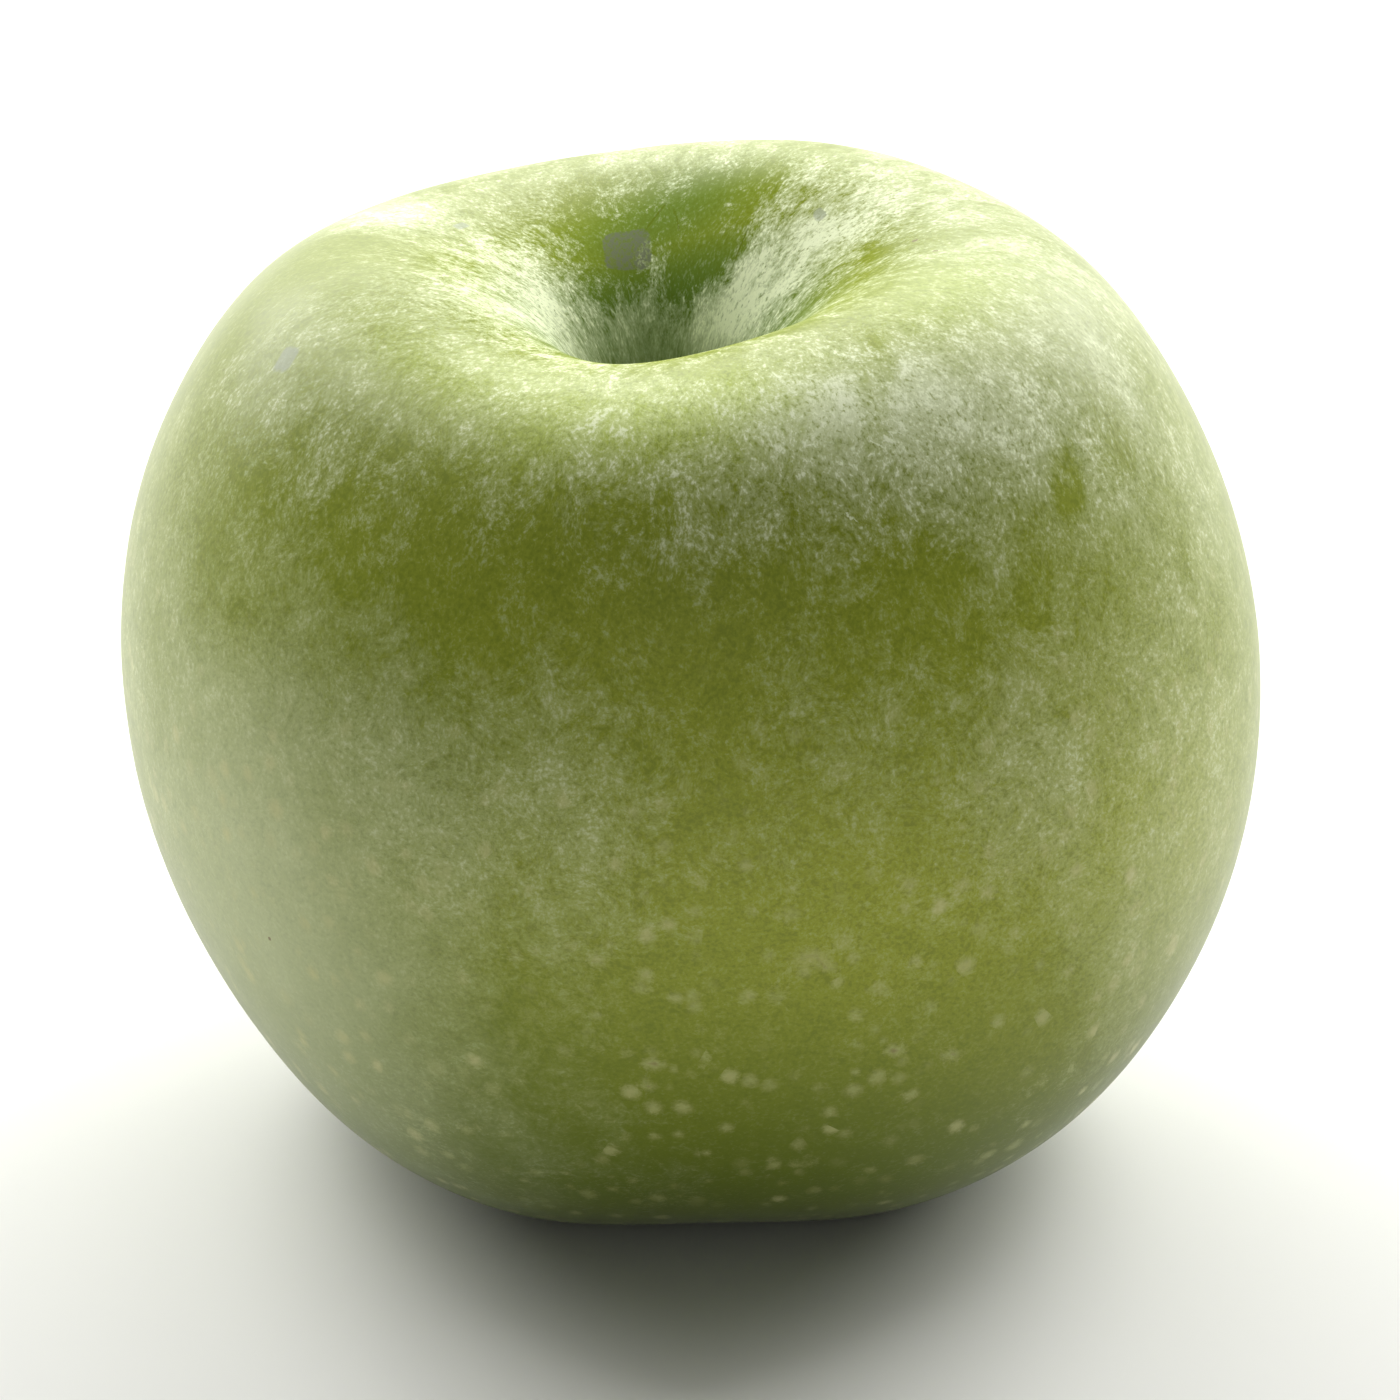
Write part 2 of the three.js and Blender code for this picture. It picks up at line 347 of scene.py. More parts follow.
class SkinSettings(bpy.types.PropertyGroup):
    """Colours and sizes of the skin."""

    deep: bpy.props.FloatVectorProperty(
        name="Skin green", description="Bare skin between the flakes of bloom",
        subtype="COLOR", size=3, min=0, max=1, default=linear("#859127"))
    golden: bpy.props.FloatVectorProperty(
        name="Ripening green", description="Yellower skin on the side that ripened first",
        subtype="COLOR", size=3, min=0, max=1, default=linear("#9ea626"))
    fresh: bpy.props.FloatVectorProperty(
        name="Fresh green", description="Light green skin round the mouth of the stem cavity",
        subtype="COLOR", size=3, min=0, max=1, default=linear("#bdd05c"))
    # Dark green of pits and scratches, and also painted shade: the colour that the base is darkened towards.
    pit_and_shade_green: bpy.props.FloatVectorProperty(
        name="Underside green", description="Skin that grew in shade, round the base",
        subtype="COLOR", size=3, min=0, max=1, default=linear("#5c6a0c"))
    # The cavity's own deep green, made darker still as painted shade in the recess.
    cavity_green_and_shade: bpy.props.FloatVectorProperty(
        name="Cavity green", description="Dark fresh green inside the stem cavity",
        subtype="COLOR", size=3, min=0, max=1, default=linear("#5f782f"))
    bloom: bpy.props.FloatVectorProperty(
        name="Bloom", description="Pale waxy bloom that lies on the skin in flakes",
        subtype="COLOR", size=3, min=0, max=1, default=linear("#e3eac4"))
    pore: bpy.props.FloatVectorProperty(
        name="Pore", description="Pale corky pores",
        subtype="COLOR", size=3, min=0, max=1, default=linear("#c8c68a"))
    cork: bpy.props.FloatVectorProperty(
        name="Cork", description="Brown cork in the middle of old pores and specks",
        subtype="COLOR", size=3, min=0, max=1, default=linear("#6a4b2c"))
    wax: bpy.props.FloatVectorProperty(
        name="Wax", description="Grey film of dried wax",
        subtype="COLOR", size=3, min=0, max=1, default=linear("#6c7358"))
    scuff: bpy.props.FloatVectorProperty(
        name="Scuff", description="Grey places where the skin was rubbed",
        subtype="COLOR", size=3, min=0, max=1, default=linear("#8f9684"))
    mottle_size: bpy.props.FloatProperty(
        name="Mottle size", description="Width of the patches of heavier bloom",
        default=3.4 * MM, min=0.5 * MM, unit="LENGTH")
    crumb_size: bpy.props.FloatProperty(
        name="Crumb size", description="Width of the crumbs of wax and of the gaps between them",
        default=0.34 * MM, min=0.1 * MM, unit="LENGTH")
    pore_spacing: bpy.props.FloatProperty(
        name="Pore spacing", description="Distance between pores on the belly",
        default=1.75 * MM, min=0.5 * MM, unit="LENGTH")
    relief: bpy.props.FloatProperty(
        name="Relief", description="Depth of the low waves of the surface",
        default=0.16 * MM, min=0, unit="LENGTH")


class StemSettings(bpy.types.PropertyGroup):
    """Colours and sizes of the stem."""

    bark: bpy.props.FloatVectorProperty(
        name="Bark", description="Dry brown bark", subtype="COLOR", size=3, min=0, max=1,
        default=linear("#6f5a3a"))
    groove: bpy.props.FloatVectorProperty(
        name="Groove", description="Dark grooves of the bark", subtype="COLOR", size=3, min=0, max=1,
        default=linear("#35281a"))
    ridge_depth: bpy.props.FloatProperty(
        name="Ridge depth", description="Depth of the lengthwise grooves",
        default=0.12 * MM, min=0, unit="LENGTH")


class CalyxSettings(bpy.types.PropertyGroup):
    """Colours and sizes of the calyx."""

    sepal: bpy.props.FloatVectorProperty(
        name="Sepal", description="Dried downy sepals", subtype="COLOR", size=3, min=0, max=1,
        default=linear("#6b5a40"))
    shade: bpy.props.FloatVectorProperty(
        name="Shade", description="Dark shrivelled folds", subtype="COLOR", size=3, min=0, max=1,
        default=linear("#2c2318"))
    shrivel: bpy.props.FloatProperty(
        name="Shrivel", description="Depth of the dried folds",
        default=0.12 * MM, min=0, unit="LENGTH")


class StageSettings(bpy.types.PropertyGroup):
    """The camera, the floor and the lights."""

    elevation: bpy.props.FloatProperty(
        name="Camera elevation", description="Height of the camera over the horizon",
        default=math.radians(26), subtype="ANGLE")
    distance: bpy.props.FloatProperty(
        name="Camera distance", description="Distance from the apple's middle",
        default=0.7, min=0.1, unit="LENGTH")
    lens: bpy.props.FloatProperty(
        name="Focal length", description="In mm, on a sensor 36 mm wide",
        default=258.93, min=1, unit="CAMERA")
    floor: bpy.props.FloatVectorProperty(
        name="Floor", description="White matt card", subtype="COLOR", size=3, min=0, max=1,
        default=linear("#f2f2ee"))
    brightness: bpy.props.FloatProperty(
        name="Brightness", description="Factor on all the lights", default=1.0, min=0)


# Skin material

def mark_frame(surface, around, down, turn):
    """Where a ray from the heart leaves the skin, and a mark's directions across and along it there."""
    around, down, turn = (math.radians(a) for a in (around, down, turn))
    outward = Vector((math.cos(around) * math.sin(down), math.sin(around) * math.sin(down), math.cos(down)))
    start = core_line(np.array([HEART_HEIGHT]))[0]
    heart = Vector((start[0], start[1], HEART_HEIGHT))
    centre, normal, _, _ = surface.ray_cast(heart, outward)
    sideways = Vector((-math.sin(around), math.cos(around), 0.0))
    across = (sideways - normal * sideways.dot(normal)).normalized()
    along = normal.cross(across)
    turned_across = across * math.cos(turn) + along * math.sin(turn)
    turned_along = along * math.cos(turn) - across * math.sin(turn)
    return centre, turned_across, turned_along


def lobe_strength(places, surface, around, down, wide, tall, turn):
    """How near each point is to a lobe's middle: 1 there, a fifth at its edge and 0 far away."""
    centre, across, along = mark_frame(surface, around, down, turn)
    offset = places - np.array(centre)
    halves = np.array((wide, tall, max(wide, tall))) * MM / 2
    axes = np.array((across, along, across.cross(along)))
    reach = (offset @ axes.T) / halves
    return np.exp(-1.6 * (reach ** 2).sum(1))


def ease(values, low, high):
    """Rises smoothly from 0 at low to 1 at high."""
    share = np.clip((values - low) / (high - low), 0, 1)
    return share * share * (3 - 2 * share)


def skin_tones(places, surface, down, radius, grain):
    """How the skin changes from place to place: one value for each point under each name."""
    sums = {}
    for kind, around, low, wide, tall, turn, strength in LOBES:
        lobe = lobe_strength(places, surface, around, low, wide, tall, turn)
        if kind == "bared":
            lobe = ease(lobe, 0.1, 0.5)
        sums[kind] = sums.get(kind, 0) + strength * lobe
    degrees = np.degrees(down)
    # Partly painted highlight: an even extra bloom whitens the top.
    crown = 0.10 * (1 - ease(degrees, *CROWN_BLOOM_END))
    belly = 0.03 * ease(degrees, *BELLY_BLOOM_START) * (1 - ease(degrees, *BELLY_BLOOM_END))
    belly = belly - 0.04 * ease(degrees, *BASE_THINNING)
    streaked = grain * np.array((1.0, 1.0, 0.6))
    broad, small = CLOUD_SIZES
    clouds = 0.10 * noise_at(streaked, broad, 4.4) + 0.09 * noise_at(streaked, small, 9.1)
    flaky = 1 - 0.36 * ease(degrees, *FLAKES_WEAKEN) - 0.3 * ease(degrees, *FLAKES_WEAKEN_MORE)
    flaky = flaky * (1 - 0.75 * np.clip(2.5 * sums["haze_and_sheen"], 0, 1))
    above = ease(places[:, 2], *CROWN_HEIGHTS)
    inside = (1 - ease(radius, *WALL_REACH)) * above
    flaky = flaky * (1 - 0.5 * (1 - ease(radius, *NECK_REACH)) * above)
    bloomed = crown + belly + clouds * (0.4 + 0.6 * flaky)
    # The even haze adds to the bloom, and on the lower left flank it is partly painted sheen.
    bloomed = bloomed + sums["bloomed"] + sums["haze_and_sheen"] - sums["bared"] - sums["thinned"]
    return {
        "bloomed": bloomed,
        "flaky": flaky,
        # In the cavity the skin takes the cavity green: partly its own colour, partly painted shade.
        "cavity_green_and_shade": np.maximum(inside, sums["cavity_shaded"]),
        "sheltered": (1 - ease(radius, *SHELTER_REACH)) * above,
        # Painted shade: the skin is darkened towards the base, from 84 degrees down.
        "painted_base_shade": ease(degrees, *PAINTED_SHADE_START),
        "fresh": sums["freshened"],
        "ripe": sums["ripened"] + 0.15 * noise_at(places, RIPE_SIZE, 2.2),
        "spotted": ease(degrees, *PORES_START),
        "pored": sums["pored"],
    }


def mark_group():
    """A node group that gives 1 inside a mark with blunt corners and 0 outside it."""
    group = bpy.data.node_groups.new("SkinMark", "ShaderNodeTree")
    for name in ("Place", "Centre", "Across", "Along", "Outward"):
        group.interface.new_socket(name, in_out="INPUT", socket_type="NodeSocketVector")
    group.interface.new_socket("Softness", in_out="INPUT", socket_type="NodeSocketFloat")
    group.interface.new_socket("Mask", in_out="OUTPUT", socket_type="NodeSocketFloat")
    given = add(group, "NodeGroupInput").outputs
    offset = add(group, "ShaderNodeVectorMath", {0: given["Place"], 1: given["Centre"]},
                 operation="SUBTRACT").outputs[0]
    across = add(group, "ShaderNodeVectorMath", {0: offset, 1: given["Across"]},
                 operation="DOT_PRODUCT").outputs["Value"]
    along = add(group, "ShaderNodeVectorMath", {0: offset, 1: given["Along"]},
                operation="DOT_PRODUCT").outputs["Value"]
    outward = add(group, "ShaderNodeVectorMath", {0: offset, 1: given["Outward"]},
                  operation="DOT_PRODUCT").outputs["Value"]
    turned = add(group, "ShaderNodeCombineXYZ", {0: across, 1: along, 2: outward}).outputs[0]
    squared = add(group, "ShaderNodeVectorMath", {0: turned, 1: turned}, operation="MULTIPLY")
    reach = add(group, "ShaderNodeVectorMath", {0: squared.outputs[0]}, operation="LENGTH")
    near = add(group, "ShaderNodeMath", {0: 1.0, 1: given["Softness"]}, operation="SUBTRACT")
    mask = add(
        group, "ShaderNodeMapRange",
        {"Value": reach.outputs["Value"], "From Min": near.outputs[0], "From Max": 1.0,
         "To Min": 1.0, "To Max": 0.0},
        interpolation_type="SMOOTHSTEP")
    add(group, "NodeGroupOutput", {"Mask": mask.outputs[0]})
    return group


def mark_masks(tree, place, surface):
    """One mask for each kind of small mark, the most of all the marks of that kind."""
    group = mark_group()
    masks = {}
    for kind, around, down, wide, tall, turn in MARKS:
        centre, across, along = mark_frame(surface, around, down, turn)
        node = add(tree, "ShaderNodeGroup", node_tree=group)
        tree.links.new(place, node.inputs["Place"])
        node.inputs["Centre"].default_value = centre
        node.inputs["Across"].default_value = across / (wide * MM / 2)
        node.inputs["Along"].default_value = along / (tall * MM / 2)
        node.inputs["Outward"].default_value = across.cross(along) / MARK_DEPTH
        node.inputs["Softness"].default_value = MARK_SOFTNESS[kind]
        masks[kind] = node.outputs[0] if kind not in masks else add(
            tree, "ShaderNodeMath", {0: masks[kind], 1: node.outputs[0]}, operation="MAXIMUM").outputs[0]
    return masks


def skin_material(settings, surface):
    """Apple skin with its own wax: softly glossy, but duller and whiter under the flakes of pale bloom."""
    material, tree = new_material("Waxed apple skin")
    place = add(tree, "ShaderNodeTexCoord").outputs["Object"]
    grain = add(tree, "ShaderNodeAttribute", attribute_name="grain").outputs["Vector"]
    pores = add(tree, "ShaderNodeAttribute", attribute_name="pores").outputs["Vector"]
    bloomed, flaky, cavity_green_and_shade, sheltered, painted_base_shade, fresh, ripe, spotted, pored = (
        add(tree, "ShaderNodeAttribute", attribute_name=name).outputs["Fac"]
        for name in (
            "bloomed", "flaky", "cavity_green_and_shade", "sheltered", "painted_base_shade", "fresh", "ripe", "spotted", "pored"))

    # Bloom: mottled patches that break up into flakes, heavier where the skin is bloomed.
    mottle = add(tree, "ShaderNodeTexNoise", {"Vector": grain, "Scale": 1 / settings.mottle_size,
                 "Detail": 5.0, "Roughness": 0.95, "Distortion": 0.3}).outputs["Fac"]
    centred = add(tree, "ShaderNodeMath", {0: mottle, 1: 0.5}, operation="SUBTRACT").outputs[0]
    contrast = add(tree, "ShaderNodeMapRange", {"Value": bloomed, "From Min": 0.0, "From Max": 0.4,
                   "To Min": 1.0, "To Max": 2.0}).outputs[0]
    contrast = add(tree, "ShaderNodeMath", {0: sheltered, 1: 1.4, 2: contrast},
                   operation="MULTIPLY_ADD").outputs[0]
    contrast = add(tree, "ShaderNodeMath", {0: contrast, 1: flaky}, operation="MULTIPLY").outputs[0]
    film = add(tree, "ShaderNodeMath", {0: centred, 1: contrast, 2: bloomed}, operation="MULTIPLY_ADD",
               use_clamp=True).outputs[0]

    # Crumbs of wax, and the gaps between them. The real ones are too fine to show in the render, so they are
    # drawn as coarse as they need to show.
    crumbs = add(tree, "ShaderNodeTexNoise", {"Vector": grain, "Scale": 1 / settings.crumb_size,
                 "Detail": 2.0, "Roughness": 0.65, "Distortion": 0.3}).outputs["Fac"]
    clustered = add(tree, "ShaderNodeMath", {0: centred, 1: 0.7, 2: crumbs},
                    operation="MULTIPLY_ADD").outputs[0]
    crumb = add(tree, "ShaderNodeMapRange", {
        "Value": clustered, "From Min": 0.55, "From Max": 0.72}).outputs[0]
    gap = add(tree, "ShaderNodeMapRange", {"Value": crumbs, "From Min": 0.44, "From Max": 0.30}).outputs[0]
    crumb_share = add(tree, "ShaderNodeMapRange", {"Value": film, "From Min": 0.0, "From Max": 0.25,
                      "To Min": 0.16, "To Max": 0.50}).outputs[0]
    crumb_share = add(tree, "ShaderNodeMath", {0: crumb_share, 1: flaky}, operation="MULTIPLY").outputs[0]
    bloom = add(tree, "ShaderNodeMath", {0: crumb, 1: crumb_share, 2: film}, operation="MULTIPLY_ADD",
                use_clamp=True).outputs[0]
    open_share = add(tree, "ShaderNodeMath", {0: flaky, 1: gap}, operation="MULTIPLY").outputs[0]
    kept = add(tree, "ShaderNodeMath", {0: open_share, 1: -0.75, 2: 1.0}, operation="MULTIPLY_ADD").outputs[0]
    bloom = add(tree, "ShaderNodeMath", {0: bloom, 1: kept}, operation="MULTIPLY").outputs[0]

    # Greens of the skin itself, with painted shade darkening the base and the stem cavity
    ripeness = add(tree, "ShaderNodeMath", {0: centred, 1: 0.8, 2: ripe}, operation="MULTIPLY_ADD",
                   use_clamp=True).outputs[0]
    ground = add(tree, "ShaderNodeMix", {
        "Factor": ripeness, 6: [*settings.deep, 1], 7: [*settings.golden, 1]}, data_type="RGBA").outputs[2]
    ground = add(tree, "ShaderNodeMix", {"Factor": fresh, 6: ground, 7: [*settings.fresh, 1]},
                 data_type="RGBA").outputs[2]
    # Painted shade: darker green towards the base.
    ground = add(tree, "ShaderNodeMix", {"Factor": painted_base_shade, 6: ground, 7: [*settings.pit_and_shade_green, 1]},
                 data_type="RGBA").outputs[2]
    # Cavity green: partly the cavity's own colour, partly painted shade in the recess.
    ground = add(tree, "ShaderNodeMix", {"Factor": cavity_green_and_shade, 6: ground, 7: [*settings.cavity_green_and_shade, 1]},
                 data_type="RGBA").outputs[2]
    pitted = add(tree, "ShaderNodeMapRange", {"Value": clustered, "From Min": 0.52, "From Max": 0.30,
                 "To Min": 0.0, "To Max": 0.4}).outputs[0]
    ground = add(tree, "ShaderNodeMix", {"Factor": pitted, 6: ground, 7: [*settings.pit_and_shade_green, 1]},
                 data_type="RGBA").outputs[2]
    # The bloom laid on here also carries the painted sheen of the lower left flank and a painted highlight on
    # the top.
    colour = add(tree, "ShaderNodeMix", {"Factor": bloom, 6: ground, 7: [*settings.bloom, 1]},
                 data_type="RGBA").outputs[2]

    # Pores: pale halos with frayed edges, larger and closer towards the base, some with a brown middle.
    cells = add(tree, "ShaderNodeTexVoronoi", {"Vector": pores, "Scale": 1 / settings.pore_spacing,
                "Randomness": 1.0})
    frayed = add(tree, "ShaderNodeMath", {0: centred, 1: -0.8, 2: cells.outputs["Distance"]},
                 operation="MULTIPLY_ADD").outputs[0]
    chance = add(tree, "ShaderNodeSeparateColor", {0: cells.outputs["Color"]}).outputs
    frayed = add(tree, "ShaderNodeMath", {0: chance[1], 1: 0.28, 2: frayed},
                 operation="MULTIPLY_ADD").outputs[0]
    halo = add(tree, "ShaderNodeMapRange", {"Value": frayed, "From Min": 0.10, "From Max": 0.60,
               "To Min": 1.0, "To Max": 0.0}, interpolation_type="SMOOTHSTEP").outputs[0]
    size = add(tree, "ShaderNodeMapRange", {"Value": chance[0], "From Min": 0.10, "From Max": 1.0}).outputs[0]
    halo = add(tree, "ShaderNodeMath", {0: halo, 1: size}, operation="MULTIPLY").outputs[0]
    halo = add(tree, "ShaderNodeMath", {0: halo, 1: spotted}, operation="MULTIPLY").outputs[0]
    halo = add(tree, "ShaderNodeMath", {0: halo, 1: 0.66}, operation="MULTIPLY").outputs[0]
    known = add(tree, "ShaderNodeMath", {0: centred, 1: 1.6, 2: pored}, operation="MULTIPLY_ADD").outputs[0]
    known = add(tree, "ShaderNodeMapRange", {"Value": known, "From Min": 0.25, "From Max": 0.9,
                "To Min": 0.0, "To Max": 0.5}).outputs[0]
    halo = add(tree, "ShaderNodeMath", {0: halo, 1: known}, operation="MAXIMUM").outputs[0]
    colour = add(tree, "ShaderNodeMix", {"Factor": halo, 6: colour, 7: [*settings.pore, 1]},
                 data_type="RGBA").outputs[2]
    middle = add(tree, "ShaderNodeMapRange", {"Value": pored, "From Min": 0.72, "From Max": 0.98,
                 "To Min": 0.0, "To Max": 0.6}).outputs[0]
    colour = add(tree, "ShaderNodeMix", {"Factor": middle, 6: colour, 7: [*settings.cork, 1]},
                 data_type="RGBA").outputs[2]

    # Small marks
    fray = add(tree, "ShaderNodeVectorMath", {0: [MARK_FRAY] * 3, "Scale": centred},
               operation="SCALE").outputs[0]
    marked = add(tree, "ShaderNodeVectorMath", {0: place, 1: fray}, operation="ADD").outputs[0]
    masks = mark_masks(tree, marked, surface)
    speckled = add(tree, "ShaderNodeMapRange", {"Value": crumbs, "From Min": 0.42, "From Max": 0.56,
                   "To Min": 0.35, "To Max": 1.0}).outputs[0]
    wax = add(tree, "ShaderNodeMath", {0: masks["wax"], 1: speckled}, operation="MULTIPLY").outputs[0]
    colour = add(tree, "ShaderNodeMix", {"Factor": wax, 6: colour, 7: [*settings.wax, 1]},
                 data_type="RGBA").outputs[2]
    scuffed = add(tree, "ShaderNodeMath", {0: masks["scuff"], 1: 0.6}, operation="MULTIPLY").outputs[0]
    colour = add(tree, "ShaderNodeMix", {"Factor": scuffed, 6: colour, 7: [*settings.scuff, 1]},
                 data_type="RGBA").outputs[2]
    scored = add(tree, "ShaderNodeMath", {0: masks["scratch"], 1: 0.7}, operation="MULTIPLY").outputs[0]
    colour = add(tree, "ShaderNodeMix", {"Factor": scored, 6: colour, 7: [*settings.pit_and_shade_green, 1]},
                 data_type="RGBA").outputs[2]
    browned = add(tree, "ShaderNodeMath", {0: masks["speck"], 1: 0.7}, operation="MULTIPLY").outputs[0]
    colour = add(tree, "ShaderNodeMix", {"Factor": browned, 6: colour, 7: [*settings.cork, 1]},
                 data_type="RGBA").outputs[2]
    whitened = add(tree, "ShaderNodeMath", {0: masks["hairline"], 1: 0.8}, operation="MULTIPLY").outputs[0]
    colour = add(tree, "ShaderNodeMix", {"Factor": whitened, 6: colour, 7: [*settings.bloom, 1]},
                 data_type="RGBA").outputs[2]

    rough = add(tree, "ShaderNodeMapRange", {"Value": bloom, "To Min": 0.38, "To Max": 0.63}).outputs[0]
    gloss = add(tree, "ShaderNodeMapRange", {"Value": sheltered, "To Min": 0.36, "To Max": 0.0}).outputs[0]
    height = add(tree, "ShaderNodeMath", {0: crumb, 1: 0.5, 2: mottle}, operation="MULTIPLY_ADD").outputs[0]
    relief = add(tree, "ShaderNodeBump", {
        "Strength": 0.3, "Distance": CRUMB_RELIEF, "Height": height}).outputs[0]
    shader = add(tree, "ShaderNodeBsdfPrincipled", {
        "Base Color": colour, "Roughness": rough, "Normal": relief, "IOR": 1.45,
        "Specular IOR Level": gloss, "Sheen Weight": 0.13, "Sheen Roughness": 0.4})
    add(tree, "ShaderNodeOutputMaterial", {"Surface": shader.outputs[0]})
    return material


def wood_material(name, light, dark, grain):
    """Dry plant fibre: matt, with fine dark grain that the light catches on its ridges."""
    material, tree = new_material(name)
    place = add(tree, "ShaderNodeTexCoord").outputs["Object"]
    along = add(tree, "ShaderNodeMapping", {"Vector": place, "Scale": (1.0, 1.0, 0.25)}).outputs[0]
    fibre = add(tree, "ShaderNodeTexNoise", {
        "Vector": along, "Scale": 1 / grain, "Detail": 4.0}).outputs["Fac"]
    blend = add(tree, "ShaderNodeMapRange", {"Value": fibre, "From Min": 0.35, "From Max": 0.65}).outputs[0]
    colour = add(tree, "ShaderNodeMix", {"Factor": blend, 6: [*dark, 1], 7: [*light, 1]},
                 data_type="RGBA").outputs[2]
    relief = add(tree, "ShaderNodeBump", {
        "Strength": 0.6, "Distance": FIBRE_RELIEF, "Height": fibre}).outputs[0]
    shader = add(tree, "ShaderNodeBsdfPrincipled", {
        "Base Color": colour, "Roughness": 0.85, "Normal": relief, "Sheen Weight": 0.15})
    add(tree, "ShaderNodeOutputMaterial", {"Surface": shader.outputs[0]})
    return material


# Pieces

class FRUIT_OT_skin(bpy.types.Operator):
    """Builds the fruit with its finely waved, bloomed skin."""

    bl_idname = "fruit.skin"
    bl_label = "Skin"

    def execute(self, context):
        settings = context.scene.fruit_skin
        mesh = refined_copy("fruit", "WholeFruit", 2)
        places = vertex_places(mesh)
        normals = vertex_normals(mesh)
        around, down, radius = growth_of(places)
        broad, small = WAVE_SIZES
        waves = 0.6 * noise_at(places, broad, 3.1) + 0.4 * noise_at(places, small, 7.7)
        low, high = WAVE_HEIGHTS
        steady = np.clip((places[:, 2] - low) / (high - low), 0, 1)
        depth = -settings.relief * (0.5 + 0.5 * waves) * steady
        surface = ray_surface(mesh)
        hump = lobe_strength(places, surface, *HUMP_PLACE, HUMP_WIDTH, HUMP_WIDTH, 0)
        move_vertices(mesh, places + normals * (depth + HUMP_HEIGHT * hump)[:, None])
        places = vertex_places(mesh)
        surface = ray_surface(mesh)

        # The pattern draws together towards the core, by less than the skin itself does, so it streaks there.
        slimming = np.clip(radius / GIRTH, 0.02, 1.2)
        rounds = np.stack([np.cos(around), np.sin(around)], 1) * GIRTH
        lengths = GIRTH * down ** 3 / (down ** 2 + 1.5)
        grain = np.column_stack([rounds * slimming[:, None] ** 0.6, lengths])
        store_vectors(mesh, "grain", grain)
        store_vectors(mesh, "pores", np.column_stack([rounds * slimming[:, None] ** 0.5, GIRTH * 0.9 * down]))
        for name, values in skin_tones(places, surface, down, radius, grain).items():
            store_values(mesh, name, values)
        material = skin_material(settings, surface)
        place_piece("WholeFruit", mesh, material, "fruit")
        return {"FINISHED"}


class FRUIT_OT_stem(bpy.types.Operator):
    """Builds the dry stem stub with its bark."""

    bl_idname = "fruit.stem"
    bl_label = "Stem"

    def execute(self, context):
        settings = context.scene.fruit_stem
        mesh = refined_copy("stem", "StemStub", 3)
        places = vertex_places(mesh)
        normals = vertex_normals(mesh)
        ridges = noise_at(places * np.array((1.0, 1.0, 0.25)), GROOVE_SPACING, 1.3)
        move_vertices(mesh, places - normals * (settings.ridge_depth * (0.5 + 0.5 * ridges))[:, None])
        # Dry bark is dead matt and brown, with darker grooves that run along the stem.
        material = wood_material("Dry stem bark", settings.bark, settings.groove, STEM_FIBRE)
        place_piece("StemStub", mesh, material, "stem")
        return {"FINISHED"}


class FRUIT_OT_calyx(bpy.types.Operator):
    """Builds the dried calyx in the basin underneath."""

    bl_idname = "fruit.calyx"
    bl_label = "Calyx"

    def execute(self, context):
        settings = context.scene.fruit_calyx
        mesh = refined_copy("calyx", "DriedCalyx", 2)
        places = vertex_places(mesh)
        normals = vertex_normals(mesh)
        folds = noise_at(places, FOLD_SIZE, 5.2)
        move_vertices(mesh, places - normals * (settings.shrivel * (0.5 + 0.5 * folds))[:, None])
        # Down is fine short hair: it scatters the light, which greys the brown sepals at their edges.
        material = wood_material("Dried calyx down", settings.sepal, settings.shade, CALYX_FIBRE)
        place_piece("DriedCalyx", mesh, material, "calyx")
        return {"FINISHED"}


# Studio

# The middle of the photograph's frame falls on this point of the apple.
CAMERA_AIM = Vector((0.677, -0.435, 32.357)) * MM
FLOOR_RADIUS = 2.0
# The floor lies a hair under the flat spots that the fruit rests on, so the two faces don't share a plane.
FLOOR_DROP = 0.05 * MM
# The tooth of the card is too fine to show, so it is drawn as coarse as it needs to show.
CARD_GRAIN = 0.6 * MM
CARD_RELIEF = 0.02 * MM

# Soft panels: name, degrees round from the back, degrees up, distance, width, height, strength.
PANELS = (
    ("BackPanel", 0, 25, 0.9, 0.9, 0.35, 4.3),
    ("HighBackPanel", 0, 50, 0.9, 0.7, 0.4, 1.3),
    ("LowBackPanel", 0, 8, 0.9, 0.9, 0.25, 0.4),
    ("LeftBackPanel", 45, 20, 0.9, 0.6, 0.4, 4.6),
    ("RightBackPanel", -45, 20, 0.9, 0.6, 0.4, 5.5),
    ("HighLeftPanel", 50, 50, 0.9, 0.5, 0.4, 4.1),
    ("HighRightPanel", -50, 50, 0.9, 0.5, 0.4, 4.1),
    ("LeftPanel", 90, 50, 0.9, 0.6, 0.4, 0.3),
    ("RightPanel", -90, 50, 0.9, 0.6, 0.4, 0.3),
    ("TopPanel", 0, 88, 0.9, 0.6, 0.6, 0.4),
    ("FrontPanel", 180, 20, 0.9, 0.6, 0.4, 0.3),
)


def floor_material(colour):
    """White matt card: even and pale, so that it takes soft shadows and throws light up."""
    material, tree = new_material("White matt card")
    place = add(tree, "ShaderNodeTexCoord").outputs["Object"]
    grain = add(tree, "ShaderNodeTexNoise", {
        "Vector": place, "Scale": 1 / CARD_GRAIN, "Detail": 2.0}).outputs["Fac"]
    relief = add(tree, "ShaderNodeBump", {
        "Strength": 0.05, "Distance": CARD_RELIEF, "Height": grain}).outputs[0]
    shader = add(tree, "ShaderNodeBsdfPrincipled", {
        "Base Color": [*colour, 1], "Roughness": 0.9, "Specular IOR Level": 0.2, "Normal": relief})
    add(tree, "ShaderNodeOutputMaterial", {"Surface": shader.outputs[0]})
    return material


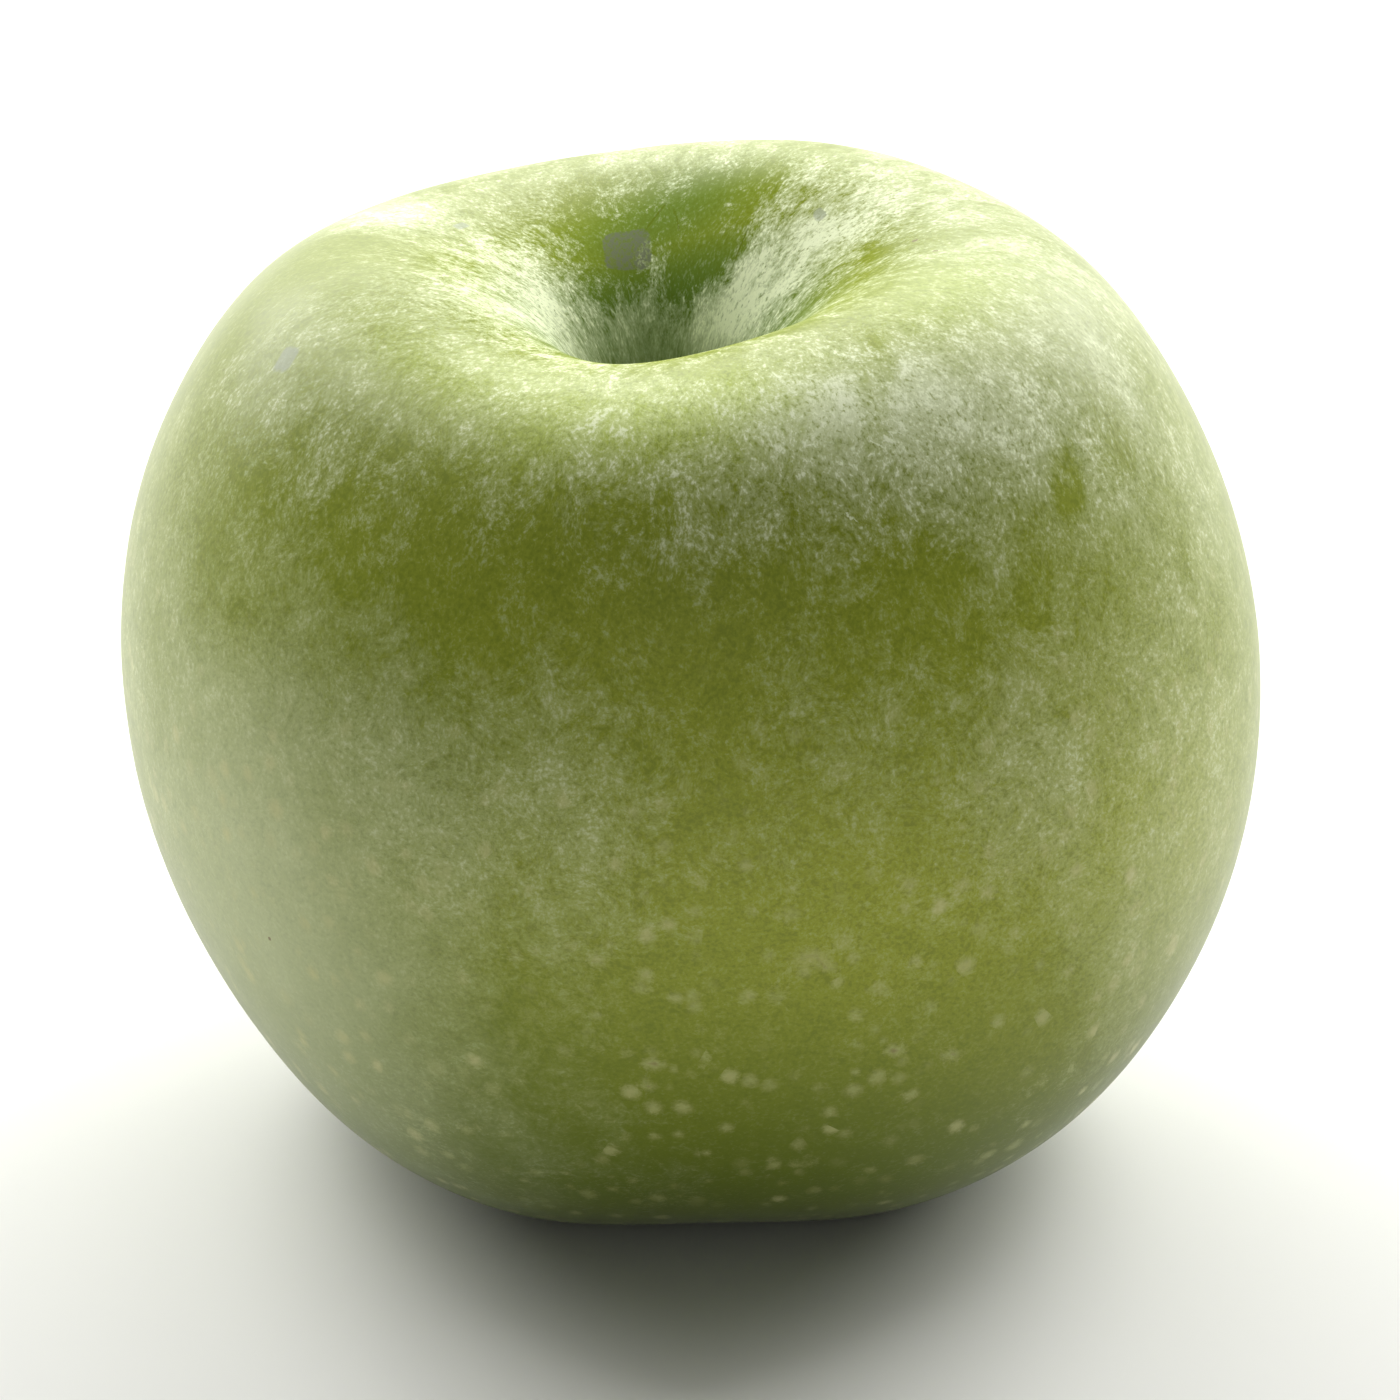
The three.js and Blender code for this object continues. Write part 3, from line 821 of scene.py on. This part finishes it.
def make_floor(colour):
    """A round floor under the apple."""
    shape = bmesh.new()
    bmesh.ops.create_circle(shape, cap_ends=True, segments=96, radius=FLOOR_RADIUS)
    bmesh.ops.translate(shape, verts=shape.verts, vec=(0.0, 0.0, -FLOOR_DROP))
    mesh = bpy.data.meshes.new("StudioFloor")
    shape.to_mesh(mesh)
    shape.free()
    mesh.materials.append(floor_material(colour))
    floor = bpy.data.objects.new("StudioFloor", mesh)
    bpy.context.scene.collection.objects.link(floor)


def make_panel(name, turn, rise, distance, width, height, strength):
    """One soft panel that faces the apple and isn't seen by the camera."""
    turn, rise = math.radians(turn), math.radians(rise)
    away = Vector((-math.sin(turn) * math.cos(rise), math.cos(turn) * math.cos(rise), math.sin(rise)))
    data = bpy.data.lights.new(name, "AREA")
    data.shape = "RECTANGLE"
    data.size = width
    data.size_y = height
    data.energy = strength
    panel = bpy.data.objects.new(name, data)
    panel.location = CAMERA_AIM + away * distance
    panel.rotation_euler = away.to_track_quat("Z", "Y").to_euler()
    panel.visible_camera = False
    bpy.context.scene.collection.objects.link(panel)


def make_world():
    """A dim room that the camera sees as plain white."""
    world = bpy.data.worlds.new("Studio")
    world.use_nodes = True
    tree = world.node_tree
    tree.nodes.clear()
    path = add(tree, "ShaderNodeLightPath")
    dim = add(tree, "ShaderNodeBackground", {"Color": [1, 1, 1, 1], "Strength": 0.1})
    white = add(tree, "ShaderNodeBackground", {"Color": [1, 1, 1, 1], "Strength": 1.0})
    seen = add(tree, "ShaderNodeMixShader", {
        0: path.outputs["Is Camera Ray"], 1: dim.outputs[0], 2: white.outputs[0]})
    add(tree, "ShaderNodeOutputWorld", {"Surface": seen.outputs[0]})
    bpy.context.scene.world = world


def make_camera(settings):
    """The camera at the photograph's angle."""
    data = bpy.data.cameras.new("StudioCamera")
    data.sensor_width = 36.0
    data.lens = settings.lens
    data.clip_start = 0.01
    data.clip_end = 20.0
    camera = bpy.data.objects.new("StudioCamera", data)
    back = Vector((0.0, -math.cos(settings.elevation), math.sin(settings.elevation)))
    camera.location = CAMERA_AIM + back * settings.distance
    camera.rotation_euler = back.to_track_quat("Z", "Y").to_euler()
    bpy.context.scene.collection.objects.link(camera)
    bpy.context.scene.camera = camera


class FRUIT_OT_stage(bpy.types.Operator):
    """Builds the floor, the soft panels, the room and the camera."""

    bl_idname = "fruit.stage"
    bl_label = "Studio"

    def execute(self, context):
        settings = context.scene.fruit_stage
        make_floor(settings.floor)
        for name, turn, rise, distance, width, height, strength in PANELS:
            make_panel(name, turn, rise, distance, width, height, strength * settings.brightness)
        make_world()
        make_camera(settings)
        context.scene.view_settings.view_transform = "Standard"
        context.scene.view_settings.look = "None"
        return {"FINISHED"}


class FRUIT_PT_panel(bpy.types.Panel):
    """Lists the steps that build the apple."""

    bl_idname = "FRUIT_PT_panel"
    bl_label = "Green apple"
    bl_space_type = "VIEW_3D"
    bl_region_type = "UI"
    bl_category = "Green apple"

    def draw(self, context):
        for operator, settings in STEPS:
            self.layout.operator(operator)
            group = getattr(context.scene, settings)
            for name in group.__annotations__:
                self.layout.prop(group, name)


STEPS = (
    ("fruit.stage", "fruit_stage"),
    ("fruit.skin", "fruit_skin"),
    ("fruit.stem", "fruit_stem"),
    ("fruit.calyx", "fruit_calyx"),
)
SETTINGS = {
    "fruit_skin": SkinSettings,
    "fruit_stem": StemSettings,
    "fruit_calyx": CalyxSettings,
    "fruit_stage": StageSettings,
}
CLASSES = (
    *SETTINGS.values(), FRUIT_OT_skin, FRUIT_OT_stem, FRUIT_OT_calyx, FRUIT_OT_stage, FRUIT_PT_panel)


def register():
    """Adds the settings, steps and panel."""
    for cls in CLASSES:
        bpy.utils.register_class(cls)
    for name, group in SETTINGS.items():
        setattr(bpy.types.Scene, name, bpy.props.PointerProperty(type=group))


def unregister():
    """Takes them away again."""
    for name in SETTINGS:
        delattr(bpy.types.Scene, name)
    for cls in reversed(CLASSES):
        bpy.utils.unregister_class(cls)


def main():
    """Builds the stage and the pieces."""
    register()
    bpy.ops.fruit.stage()
    bpy.ops.fruit.skin()
    bpy.ops.fruit.stem()
    bpy.ops.fruit.calyx()


if __name__ == "__main__":
    main()
